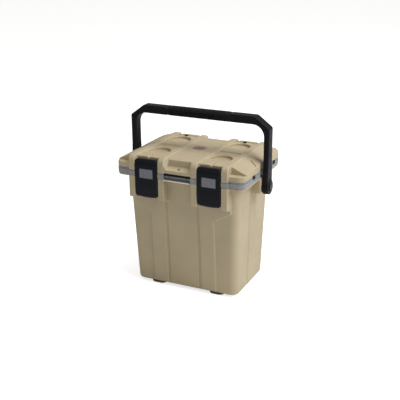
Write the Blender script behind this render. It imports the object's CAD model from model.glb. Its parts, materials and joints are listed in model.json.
"""Looks of the cooler chest: softened moulded shells, procedural materials, camera, floor and light.

Metres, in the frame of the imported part: +Z up, the front faces -Y, the floor is at zero.
"""

import json
from math import cos, pi, radians, sin

import bmesh
import bpy
from mathutils import Matrix, Vector

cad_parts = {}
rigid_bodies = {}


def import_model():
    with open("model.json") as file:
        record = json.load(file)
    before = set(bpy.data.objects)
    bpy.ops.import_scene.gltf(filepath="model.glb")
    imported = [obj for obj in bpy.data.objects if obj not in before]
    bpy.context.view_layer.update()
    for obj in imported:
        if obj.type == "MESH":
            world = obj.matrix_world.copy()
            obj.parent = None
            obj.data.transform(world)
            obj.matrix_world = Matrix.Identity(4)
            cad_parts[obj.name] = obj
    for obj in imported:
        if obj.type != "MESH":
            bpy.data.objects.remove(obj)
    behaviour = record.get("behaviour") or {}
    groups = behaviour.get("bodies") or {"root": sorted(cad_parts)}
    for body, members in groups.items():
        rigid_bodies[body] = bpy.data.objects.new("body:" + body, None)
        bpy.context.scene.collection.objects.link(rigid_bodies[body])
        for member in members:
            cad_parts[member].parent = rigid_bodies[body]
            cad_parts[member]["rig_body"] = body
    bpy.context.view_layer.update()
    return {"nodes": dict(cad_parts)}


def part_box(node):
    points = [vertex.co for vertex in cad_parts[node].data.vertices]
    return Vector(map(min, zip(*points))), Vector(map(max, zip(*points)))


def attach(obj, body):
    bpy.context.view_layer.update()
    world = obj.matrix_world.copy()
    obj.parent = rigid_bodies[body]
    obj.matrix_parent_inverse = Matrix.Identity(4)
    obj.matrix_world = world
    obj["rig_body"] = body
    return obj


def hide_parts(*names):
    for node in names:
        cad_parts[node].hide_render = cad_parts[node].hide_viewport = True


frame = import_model()

# Camera
CAMERA_AZIMUTH = 25.487
CAMERA_ELEVATION = 20.112
CAMERA_DISTANCE = 2.506
CAMERA_TARGET = (-0.0042, 0.0, 0.2652)
CAMERA_ROLL = -0.388
CAMERA_LENS_MM = 69.78
CAMERA_SHIFT_X = 0.0025
CAMERA_SHIFT_Y = 0.00075

# Light
SKY_ON_OBJECT = 0.29            # the white surroundings look brighter than they light
SKY_COLOUR = (1.0, 0.99, 0.92)
KEY_PLACE = (2.4, 0.0, 2.7)
KEY_AIM = (0.0, 0.0, 0.25)
KEY_SIZE = 3.0
KEY_POWER = 88.0
TOP_PLACE = (0.3, 0.1, 3.0)
TOP_AIM = (0.0, 0.0, 0.30)
TOP_SIZE = 1.6
TOP_POWER = 22.0
LIGHT_COLOUR = (1.0, 1.03, 1.12)    # a little cooler than the surroundings
FLOOR_GLOW = 0.70               # brings the floor up to the white of the surroundings

# Colours, linear
TAN = (0.500, 0.406, 0.250)
TAN_LIGHT = (0.620, 0.530, 0.380)
TAN_CREASE = (0.300, 0.232, 0.130)
BLACK = (0.006, 0.006, 0.007)
NAVY_BLACK = (0.006, 0.007, 0.010)
LATCH_EDGE = (0.050, 0.053, 0.062)
TRIM_GREY = (0.294, 0.294, 0.296)
BUTTON_GREY = (0.165, 0.168, 0.185)
FOOT_BROWN = (0.130, 0.112, 0.085)
OPENER_STEEL = (0.82, 0.81, 0.78)
OPENER_PLATE_STEEL = (0.190, 0.190, 0.192)
OPENER_LIP_TOP_Z = 0.3838       # the plate above this height is dull, the lip below it bright
DARK_STEEL = (0.02, 0.02, 0.02)
RUBBER_BLACK = (0.007, 0.007, 0.007)
BADGE_GREY = (0.30, 0.27, 0.22)
BADGE_RED = (0.40, 0.19, 0.155)
LINER_WHITE = (0.74, 0.74, 0.71)
LINER_STAIN = (0.66, 0.65, 0.61)
FOAM_PALE = (0.78, 0.70, 0.46)
FOAM_DEEP = (0.60, 0.49, 0.27)
FLOOR_WHITE = (0.90, 0.90, 0.90)

# Moulded pieces made from CAD nodes: voxel size, smoothing passes, share of faces kept, slot.
# A name with a star stands for a left and a right node.
SOFTENED = {
    "tub_shell": (0.0016, 3, 0.35, "tub_plastic"),
    "lid_shell": (0.0012, 4, 0.40, "lid_plastic"),
    "bail_frame": (0.0013, 3, 0.50, "bail_plastic"),
    "bottle_opener": (0.0006, 2, 0.50, "opener_steel"),
    "latch_*": (0.0009, 4, 0.50, "latch_plastic"),
    "button_*": (0.0006, 3, 0.60, "button_plastic"),
    "hinge_bracket_*": (0.0010, 3, 0.50, "tub_plastic"),
    "foot_front_*": (0.0009, 4, 0.60, "foot_rubber"),
    "foot_back_*": (0.0009, 4, 0.60, "foot_rubber"),
}
SIDES = ("left", "right")

# Places shared with the CAD
BAY_MIDDLE = 0.105
SIDE_SLOT_Y = ((-0.0910, -0.0660), (0.0785, 0.1035))
SIDE_SLOT_FLOOR_Z = 0.3885
LID_UNDERSIDE_Z = 0.3996

# Black rubber pieces
PLUG_DEPTH = (0.0030, 0.0068)   # front and back of a slot's plug, in from the band's side
PLUG_PLAY = 0.0004
PLUG_SUNK = 0.0006              # below the band's top
PLUG_ROUNDING = 0.0008
STOP_HALF_WIDTH = 0.0045
STOP_Y = (0.1120, 0.1240)
STOP_Z = (0.4300, 0.4430)
STRIP_BACK = 0.0003             # the strip reaches this far behind the opener's plate
STRIP_FRONT = 0.0030
STRIP_OVERLAP = 0.0022          # and this far down over its top edge
STRIP_GAP = 0.0002              # room below the lid
STRIP_ROUNDING = 0.0003

# Knurled grip
KNURL_PITCH = 0.0044
KNURL_HEIGHT = 0.0020
KNURL_STEPS = 6                 # mesh steps across one stud
KNURL_SLOPE = 1.9               # more gives steeper studs with flatter tops
GRIP_CORNER = 0.0085
GRIP_COLLAR = 0.0050            # plain length at each end
COLLAR_SHARE = 0.55             # the collar's height as a share of the studs'
GRIP_END_ROUNDING = 0.0012


# ---------------------------------------------------------------- node helpers

class Look:
    """A material being made: short calls for the nodes that these looks share."""

    def __init__(self, name, colour, roughness, metallic=0.0):
        self.material = bpy.data.materials.new(name)
        self.material.use_nodes = True
        self.tree = self.material.node_tree
        self.shader = self.tree.nodes["Principled BSDF"]
        self.shader.inputs["Base Color"].default_value = (*colour, 1.0)
        self.shader.inputs["Roughness"].default_value = roughness
        self.shader.inputs["Metallic"].default_value = metallic
        self.place = self.tree.nodes.new("ShaderNodeTexCoord").outputs["Object"]

    def node(self, kind, **settings):
        made = self.tree.nodes.new(kind)
        for name, value in settings.items():
            setattr(made, name, value)
        return made

    def link(self, source, target):
        self.tree.links.new(source, target)

    def noise(self, scale, detail=3.0, roughness=0.5):
        made = self.node("ShaderNodeTexNoise")
        self.link(self.place, made.inputs["Vector"])
        made.inputs["Scale"].default_value = scale
        made.inputs["Detail"].default_value = detail
        made.inputs["Roughness"].default_value = roughness
        return made.outputs["Fac"]

    def cells(self, scale):
        made = self.node("ShaderNodeTexVoronoi")
        self.link(self.place, made.inputs["Vector"])
        made.inputs["Scale"].default_value = scale
        return made.outputs["Distance"]

    def ramp(self, source, low, high, low_value=0.0, high_value=1.0):
        made = self.node("ShaderNodeMapRange")
        self.link(source, made.inputs["Value"])
        made.inputs["From Min"].default_value = low
        made.inputs["From Max"].default_value = high
        made.inputs["To Min"].default_value = low_value
        made.inputs["To Max"].default_value = high_value
        return made.outputs["Result"]

    def mix(self, share, first, second):
        """Colour from first to second. Either may be a socket or three numbers."""
        made = self.node("ShaderNodeMix", data_type="RGBA")
        self.link(share, made.inputs["Factor"])
        for socket, value in ((made.inputs[6], first), (made.inputs[7], second)):
            if isinstance(value, tuple):
                socket.default_value = (*value, 1.0)
            else:
                self.link(value, socket)
        return made.outputs[2]

    def add(self, first, second, second_share=1.0):
        made = self.node("ShaderNodeMath", operation="MULTIPLY_ADD")
        self.link(second, made.inputs[0])
        made.inputs[1].default_value = second_share
        self.link(first, made.inputs[2])
        return made.outputs[0]

    def above(self, height, blend=0.0006):
        """One above this height on the object at rest, nothing below it."""
        parts = self.node("ShaderNodeSeparateXYZ")
        self.link(self.place, parts.inputs["Vector"])
        return self.ramp(parts.outputs["Z"], height - blend, height + blend)

    def edges(self, low=0.505, high=0.56):
        """One on convex edges, nothing on flats."""
        made = self.node("ShaderNodeNewGeometry")
        return self.ramp(made.outputs["Pointiness"], low, high)

    def creases(self, low=0.43, high=0.492, most=0.65):
        """Most in inside corners, where dirt gathers, and nothing on flats."""
        made = self.node("ShaderNodeNewGeometry")
        return self.ramp(made.outputs["Pointiness"], low, high, most, 0.0)

    def colour(self, socket):
        self.link(socket, self.shader.inputs["Base Color"])

    def roughness(self, socket):
        self.link(socket, self.shader.inputs["Roughness"])

    def bump(self, socket, height, strength=1.0):
        made = self.node("ShaderNodeBump")
        made.inputs["Strength"].default_value = strength
        made.inputs["Distance"].default_value = height
        self.link(socket, made.inputs["Height"])
        self.link(made.outputs["Normal"], self.shader.inputs["Normal"])


# ---------------------------------------------------------------- materials

def shade(colour, by):
    return tuple(min(1.0, part * by) for part in colour)


def moulded_tan(name):
    """Rotationally moulded plastic: soft mottling, a fine orange peel, paler rubbed edges."""
    look = Look(name, TAN, 0.5)
    blotches = look.ramp(look.noise(9.0, 3.0), 0.35, 0.65)
    body = look.mix(blotches, shade(TAN, 0.96), shade(TAN, 1.05))
    speckle = look.ramp(look.noise(900.0, 2.0), 0.55, 0.75, 0.0, 0.4)
    body = look.mix(speckle, body, TAN_LIGHT)
    worn = look.ramp(look.edges(), 0.0, 1.0, 0.0, 0.40)
    body = look.mix(worn, body, TAN_LIGHT)
    look.colour(look.mix(look.creases(), body, TAN_CREASE))
    look.roughness(look.ramp(look.noise(60.0, 4.0), 0.3, 0.7, 0.42, 0.60))
    look.bump(look.add(look.noise(520.0, 2.0), look.noise(60.0, 2.0), 0.6), 0.00035, 0.5)
    return look.material


def trim_plastic():
    """Satin grey plastic, faintly mottled."""
    look = Look("trim_grey", TRIM_GREY, 0.4)
    mottled = look.ramp(look.noise(45.0, 3.0), 0.3, 0.7)
    look.colour(look.mix(mottled, shade(TRIM_GREY, 0.92), shade(TRIM_GREY, 1.08)))
    look.roughness(look.ramp(look.noise(80.0, 3.0), 0.3, 0.7, 0.36, 0.5))
    look.bump(look.noise(700.0, 2.0), 0.0002, 0.4)
    return look.material


def black_plastic(name, colour, low, high, worn_colour=(0.030, 0.030, 0.033)):
    """Injection moulded black: a fine grain, a satin that varies, and edges rubbed grey."""
    look = Look(name, colour, (low + high) / 2)
    look.shader.inputs["Specular IOR Level"].default_value = 0.15
    dust = look.ramp(look.noise(26.0, 4.0), 0.45, 0.8, 0.0, 0.5)
    body = look.mix(dust, colour, shade(colour, 1.8))
    worn = look.ramp(look.edges(), 0.0, 1.0, 0.0, 0.8)
    look.colour(look.mix(worn, body, worn_colour))
    look.roughness(look.ramp(look.noise(90.0, 4.0), 0.3, 0.7, low, high))
    look.bump(look.noise(1100.0, 2.0), 0.0002, 0.5)
    return look.material


def speckled_button():
    """Grey with a coarse pebble grain."""
    look = Look("button_grey", BUTTON_GREY, 0.6)
    grain = look.cells(650.0)
    pale = look.ramp(grain, 0.15, 0.6)
    look.colour(look.mix(pale, shade(BUTTON_GREY, 0.70), shade(BUTTON_GREY, 1.35)))
    look.roughness(look.ramp(look.noise(200.0), 0.3, 0.7, 0.5, 0.7))
    look.bump(grain, 0.0005, 0.7)
    return look.material


def rubber(name, colour=RUBBER_BLACK):
    """Matt, with pale dust in patches."""
    look = Look(name, colour, 0.75)
    look.shader.inputs["Specular IOR Level"].default_value = 0.25
    look.colour(look.mix(look.ramp(look.noise(40.0, 4.0), 0.4, 0.7), colour, shade(colour, 1.9)))
    look.roughness(look.ramp(look.noise(120.0, 3.0), 0.3, 0.7, 0.65, 0.85))
    look.bump(look.noise(1500.0, 2.0), 0.0002, 0.5)
    return look.material


def brushed_steel(name, roughness, colour=(0.70, 0.69, 0.66), dull_colour=None, dull_above=0.0):
    """Steel with fine lines across it. It can be duller above a height."""
    look = Look(name, colour, roughness, 1.0)
    stretch = look.node("ShaderNodeMapping")
    look.link(look.place, stretch.inputs["Vector"])
    stretch.inputs["Scale"].default_value = (12.0, 900.0, 900.0)
    lines = look.node("ShaderNodeTexNoise")
    look.link(stretch.outputs["Vector"], lines.inputs["Vector"])
    lines.inputs["Scale"].default_value = 1.0
    body = look.mix(lines.outputs["Fac"], shade(colour, 0.85), colour)
    if dull_colour:
        body = look.mix(look.above(dull_above), body, dull_colour)
    look.colour(body)
    look.roughness(look.ramp(lines.outputs["Fac"], 0.2, 0.8, roughness * 0.7, roughness * 1.3))
    look.bump(lines.outputs["Fac"], 0.00005, 0.3)
    return look.material


def blow_moulded_white():
    """Food-safe white plastic, a little stained."""
    look = Look("liner_white", LINER_WHITE, 0.35)
    look.colour(look.mix(look.ramp(look.noise(14.0, 3.0), 0.35, 0.7), LINER_WHITE, LINER_STAIN))
    look.roughness(look.ramp(look.noise(70.0, 3.0), 0.3, 0.7, 0.28, 0.42))
    look.bump(look.noise(500.0, 2.0), 0.0002, 0.4)
    return look.material


def cut_foam():
    """Insulating foam with open cells."""
    look = Look("foam", FOAM_PALE, 0.9)
    cells = look.cells(700.0)
    look.colour(look.mix(look.ramp(cells, 0.1, 0.6), FOAM_DEEP, FOAM_PALE))
    look.bump(cells, 0.0006, 0.8)
    return look.material


def enamel(name, colour):
    """Satin enamel of the maker's plate, slightly blotched."""
    look = Look(name, colour, 0.35)
    look.colour(look.mix(look.ramp(look.noise(180.0, 3.0), 0.35, 0.7), colour, shade(colour, 0.8)))
    look.roughness(look.ramp(look.noise(260.0, 2.0), 0.3, 0.7, 0.28, 0.45))
    look.bump(look.noise(900.0, 2.0), 0.0001, 0.4)
    return look.material


# ---------------------------------------------------------------- softened copies of CAD nodes

def apply_modifiers(obj):
    """Replaces the object's mesh with what its modifiers make."""
    graph = bpy.context.evaluated_depsgraph_get()
    mesh = bpy.data.meshes.new_from_object(obj.evaluated_get(graph))
    obj.modifiers.clear()
    obj.data = mesh


def softened(node, voxel, smoothing, keep_share, slot):
    """A copy of a CAD node with its edges and inside corners rounded, as moulding leaves them."""
    cad = frame["nodes"][node]
    obj = bpy.data.objects.new(node + "_moulded", cad.data.copy())
    bpy.context.scene.collection.objects.link(obj)
    remesh = obj.modifiers.new("Remesh", "REMESH")
    remesh.mode = "VOXEL"
    remesh.voxel_size = voxel
    soften = obj.modifiers.new("Smooth", "SMOOTH")
    soften.factor = 0.5
    soften.iterations = smoothing
    thin = obj.modifiers.new("Decimate", "DECIMATE")
    thin.ratio = keep_share
    apply_modifiers(obj)
    for face in obj.data.polygons:
        face.use_smooth = True
    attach(obj, cad["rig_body"])
    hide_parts(node)
    return obj


def both_sides(name):
    """The nodes that a name in SOFTENED stands for."""
    if "*" in name:
        return [name.replace("*", side) for side in SIDES]
    return [name]


# ---------------------------------------------------------------- pieces added to the CAD

def rounded_loop(half_y, half_z, corner, spacing):
    """Points and outward directions round a rounded rectangle, evenly spaced."""
    straight_y, straight_z = 2 * (half_y - corner), 2 * (half_z - corner)
    quarter = pi / 2 * corner
    total = 2 * (straight_y + straight_z) + 4 * quarter
    count = 4 * round(total / spacing / 4)
    points = []
    for step in range(count):
        along = total * step / count
        for turn, side in ((0, straight_z), (1, straight_y), (2, straight_z), (3, straight_y)):
            centre_y = (half_y - corner) * (1, 1, -1, -1)[turn]
            centre_z = (half_z - corner) * (-1, 1, 1, -1)[turn]
            angle = turn * pi / 2
            if along < side:
                out = (cos(angle), sin(angle))
                walk = (-sin(angle) * along, cos(angle) * along)
                place = (centre_y + walk[0] + out[0] * corner, centre_z + walk[1] + out[1] * corner)
                points.append((place, out))
                break
            along -= side
            if along < quarter:
                next_y = (half_y - corner) * (1, -1, -1, 1)[turn]
                next_z = (half_z - corner) * (1, 1, -1, -1)[turn]
                bend = angle + along / corner
                out = (cos(bend), sin(bend))
                points.append(((next_y + out[0] * corner, next_z + out[1] * corner), out))
                break
            along -= quarter
    return points, total


def knurl(u, v):
    """Height of a square knurl, from 0 in the grooves to 1 on the studs."""
    along = abs((u / KNURL_PITCH) % 1.0 - 0.5) * 2
    around = abs((v / KNURL_PITCH) % 1.0 - 0.5) * 2
    return min(1.0, KNURL_SLOPE * min(along, around))


def knurled_grip():
    """Rubber sleeve round the bail's bar, with a plain collar at each end and a square knurl between."""
    low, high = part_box("bail_grip")
    middle = (low + high) / 2
    half = (high - low) / 2
    spacing = KNURL_PITCH / KNURL_STEPS
    inner_y = half.y - KNURL_HEIGHT
    inner_z = half.z - KNURL_HEIGHT
    outline, around = rounded_loop(inner_y, inner_z, GRIP_CORNER, spacing)
    repeats = round(around / KNURL_PITCH)
    steps = round(2 * half.x / spacing)
    shape = bmesh.new()
    rings = []
    for i in range(steps + 1):
        x = -half.x + 2 * half.x * i / steps
        from_end = half.x - abs(x)
        rounding = min(1.0, from_end / GRIP_END_ROUNDING + 0.2)
        ring = []
        for j, ((y, z), out) in enumerate(outline):
            v = j / len(outline) * repeats * KNURL_PITCH
            share = COLLAR_SHARE if from_end < GRIP_COLLAR else knurl(x, v)
            rise = KNURL_HEIGHT * share * rounding
            place = (middle.x + x, middle.y + y + out[0] * rise, middle.z + z + out[1] * rise)
            ring.append(shape.verts.new(place))
        rings.append(ring)
    for first, second in zip(rings, rings[1:]):
        for j in range(len(outline)):
            k = (j + 1) % len(outline)
            shape.faces.new((first[j], first[k], second[k], second[j]))
    shape.faces.new(list(reversed(rings[0])))
    shape.faces.new(rings[-1])
    bmesh.ops.recalc_face_normals(shape, faces=shape.faces)
    mesh = bpy.data.meshes.new("grip_knurled")
    shape.to_mesh(mesh)
    shape.free()
    grip = bpy.data.objects.new("grip_knurled", mesh)
    bpy.context.scene.collection.objects.link(grip)
    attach(grip, "bail")
    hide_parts("bail_grip")
    return grip


def rounded_block(name, low, high, body, round_by):
    """A small block with rounded edges."""
    shape = bmesh.new()
    size = [b - a for a, b in zip(low, high)]
    centre = [(a + b) / 2 for a, b in zip(low, high)]
    bmesh.ops.create_cube(shape, size=1.0, matrix=Matrix.LocRotScale(centre, None, size))
    bmesh.ops.bevel(
        shape, geom=list(shape.edges), offset=round_by, segments=3, profile=0.5, affect="EDGES",
    )
    mesh = bpy.data.meshes.new(name)
    shape.to_mesh(mesh)
    shape.free()
    for face in mesh.polygons:
        face.use_smooth = True
    block = bpy.data.objects.new(name, mesh)
    bpy.context.scene.collection.objects.link(block)
    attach(block, body)
    return block


def slot_plugs():
    """Black rubber plug at the bottom of each slot in the sides of the rim."""
    low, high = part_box("trim_band")
    plugs = []
    for side, x in (("left", low.x), ("right", high.x)):
        inward = 1 if x < 0 else -1
        xs = sorted(x + inward * depth for depth in PLUG_DEPTH)
        for place, y in zip(("front", "back"), SIDE_SLOT_Y):
            plugs.append(rounded_block(
                f"slot_plug_{place}_{side}",
                (xs[0], y[0] + PLUG_PLAY, SIDE_SLOT_FLOOR_Z + PLUG_PLAY),
                (xs[1], y[1] - PLUG_PLAY, high.z - PLUG_SUNK),
                "tub", PLUG_ROUNDING,
            ))
    return plugs


def rear_stops():
    """Black rubber stop at the back edge of the lid, in the middle of each rear bay."""
    stops = []
    for side, x in (("left", -BAY_MIDDLE), ("right", BAY_MIDDLE)):
        low = (x - STOP_HALF_WIDTH, STOP_Y[0], STOP_Z[0])
        high = (x + STOP_HALF_WIDTH, STOP_Y[1], STOP_Z[1])
        stops.append(
            rounded_block("rear_plug_" + side, low, high, "lid", PLUG_ROUNDING)
        )
    return stops


def opener_slot():
    """Black strip on the band, over the top edge of the opener's plate."""
    low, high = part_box("bottle_opener")
    strip_low = (low.x, high.y - STRIP_FRONT, high.z - STRIP_OVERLAP)
    strip_high = (high.x, high.y + STRIP_BACK, LID_UNDERSIDE_Z - STRIP_GAP)
    return rounded_block("opener_slot", strip_low, strip_high, "tub", STRIP_ROUNDING)


def dress(obj, material):
    """Gives the object this one material."""
    obj.data.materials.clear()
    obj.data.materials.append(material)


# ---------------------------------------------------------------- stage

def make_camera():
    """A camera that looks at CAMERA_TARGET from the front right and above."""
    azimuth = radians(CAMERA_AZIMUTH)
    elevation = radians(CAMERA_ELEVATION)
    back = Vector((sin(azimuth) * cos(elevation), -cos(azimuth) * cos(elevation), sin(elevation)))
    data = bpy.data.cameras.new("camera")
    data.lens = CAMERA_LENS_MM
    data.shift_x = CAMERA_SHIFT_X
    data.shift_y = CAMERA_SHIFT_Y
    data.clip_end = 200.0
    camera = bpy.data.objects.new("camera", data)
    camera.location = Vector(CAMERA_TARGET) + back * CAMERA_DISTANCE
    turn = (-back).to_track_quat("-Z", "Y").to_matrix().to_4x4()
    roll = Matrix.Rotation(radians(CAMERA_ROLL), 4, "Z")
    camera.rotation_euler = (turn @ roll).to_euler()
    bpy.context.scene.collection.objects.link(camera)
    bpy.context.scene.camera = camera


def area_light(name, place, target, size, power, colour):
    """A round soft light."""
    data = bpy.data.lights.new(name, "AREA")
    data.shape = "DISK"
    data.size = size
    data.energy = power
    data.color = colour
    light = bpy.data.objects.new(name, data)
    light.location = place
    aim = Vector(target) - Vector(place)
    light.rotation_euler = aim.to_track_quat("-Z", "Y").to_euler()
    bpy.context.scene.collection.objects.link(light)
    return light


def make_floor():
    """A white floor. Its glow is seen by the camera only, and lights nothing."""
    mesh = bpy.data.meshes.new("floor")
    shape = bmesh.new()
    bmesh.ops.create_grid(shape, x_segments=1, y_segments=1, size=60.0)
    shape.to_mesh(mesh)
    shape.free()
    floor = bpy.data.objects.new("floor", mesh)
    bpy.context.scene.collection.objects.link(floor)
    look = Look("floor_white", FLOOR_WHITE, 0.9)
    look.shader.inputs["Specular IOR Level"].default_value = 0.1
    look.shader.inputs["Emission Color"].default_value = (1.0, 1.0, 1.0, 1.0)
    path = look.node("ShaderNodeLightPath")
    look.link(
        look.ramp(path.outputs["Is Camera Ray"], 0.0, 1.0, 0.0, FLOOR_GLOW),
        look.shader.inputs["Emission Strength"],
    )
    floor.data.materials.append(look.material)


def make_world():
    """White surroundings, which light the object less than they show."""
    world = bpy.data.worlds.new("studio")
    world.use_nodes = True
    bpy.context.scene.world = world
    tree = world.node_tree
    soft = tree.nodes["Background"]
    soft.inputs["Color"].default_value = (*SKY_COLOUR, 1.0)
    soft.inputs["Strength"].default_value = SKY_ON_OBJECT
    seen = tree.nodes.new("ShaderNodeBackground")
    seen.inputs["Color"].default_value = (1.0, 1.0, 1.0, 1.0)
    seen.inputs["Strength"].default_value = 1.0
    path = tree.nodes.new("ShaderNodeLightPath")
    mixed = tree.nodes.new("ShaderNodeMixShader")
    tree.links.new(path.outputs["Is Camera Ray"], mixed.inputs["Fac"])
    tree.links.new(soft.outputs["Background"], mixed.inputs[1])
    tree.links.new(seen.outputs["Background"], mixed.inputs[2])
    tree.links.new(mixed.outputs["Shader"], tree.nodes["World Output"].inputs["Surface"])


def make_lights():
    area_light("key_right", KEY_PLACE, KEY_AIM, KEY_SIZE, KEY_POWER, LIGHT_COLOUR)
    area_light("soft_top", TOP_PLACE, TOP_AIM, TOP_SIZE, TOP_POWER, LIGHT_COLOUR)


# ---------------------------------------------------------------- assembly

def make_looks():
    """The material of every CAD node that shows, by the node's name."""
    tan = moulded_tan("tan_moulded")
    black = black_plastic("bail_black", BLACK, 0.34, 0.5)
    steel = brushed_steel("pin_steel", 0.35)
    dark = black_plastic("dark_steel", DARK_STEEL, 0.3, 0.45)
    opener_steel = brushed_steel(
        "opener_steel", 0.30, OPENER_STEEL, OPENER_PLATE_STEEL, OPENER_LIP_TOP_Z,
    )
    screws = brushed_steel("screw_steel", 0.34, OPENER_PLATE_STEEL)
    grip = rubber("grip_rubber")
    feet = rubber("foot_rubber", FOOT_BROWN)
    seal = rubber("seal_rubber")
    white = blow_moulded_white()
    foam = cut_foam()
    looks = {
        "tub_foam": foam,
        "lid_foam": foam,
        "tub_liner": white,
        "lid_liner": white,
        "trim_band": trim_plastic(),
        "bottle_opener": opener_steel,
        "tub_shell": tan,
        "lid_shell": tan,
        "opener_screw_left": screws,
        "opener_screw_right": screws,
        "lid_seal": seal,
        "badge_plate": enamel("badge_grey", BADGE_GREY),
        "badge_inlay": enamel("badge_red", BADGE_RED),
        "bail_grip": grip,
        "bail_frame": black,
    }
    for side in SIDES:
        looks["hinge_bracket_" + side] = tan
        looks["hinge_pin_" + side] = steel
        looks["latch_pin_" + side] = steel
        looks["button_spring_" + side] = steel
        looks["bail_bolt_" + side] = dark
        looks["bail_bush_" + side] = grip
        looks["foot_front_" + side] = feet
        looks["foot_back_" + side] = feet
        looks["latch_" + side] = black_plastic(
            "latch_black_" + side, NAVY_BLACK, 0.28, 0.42, LATCH_EDGE,
        )
        looks["button_" + side] = speckled_button()
    return looks


def main():
    looks = make_looks()
    for name, look in looks.items():
        dress(frame["nodes"][name], look)
    for name, settings in SOFTENED.items():
        for node in both_sides(name):
            dress(softened(node, *settings), looks[node])
    dress(knurled_grip(), looks["bail_grip"])
    for piece in [opener_slot()] + slot_plugs() + rear_stops():
        dress(piece, looks["lid_seal"])

    make_camera()
    make_floor()
    make_world()
    make_lights()
    bpy.context.scene.view_settings.view_transform = "Standard"


main()
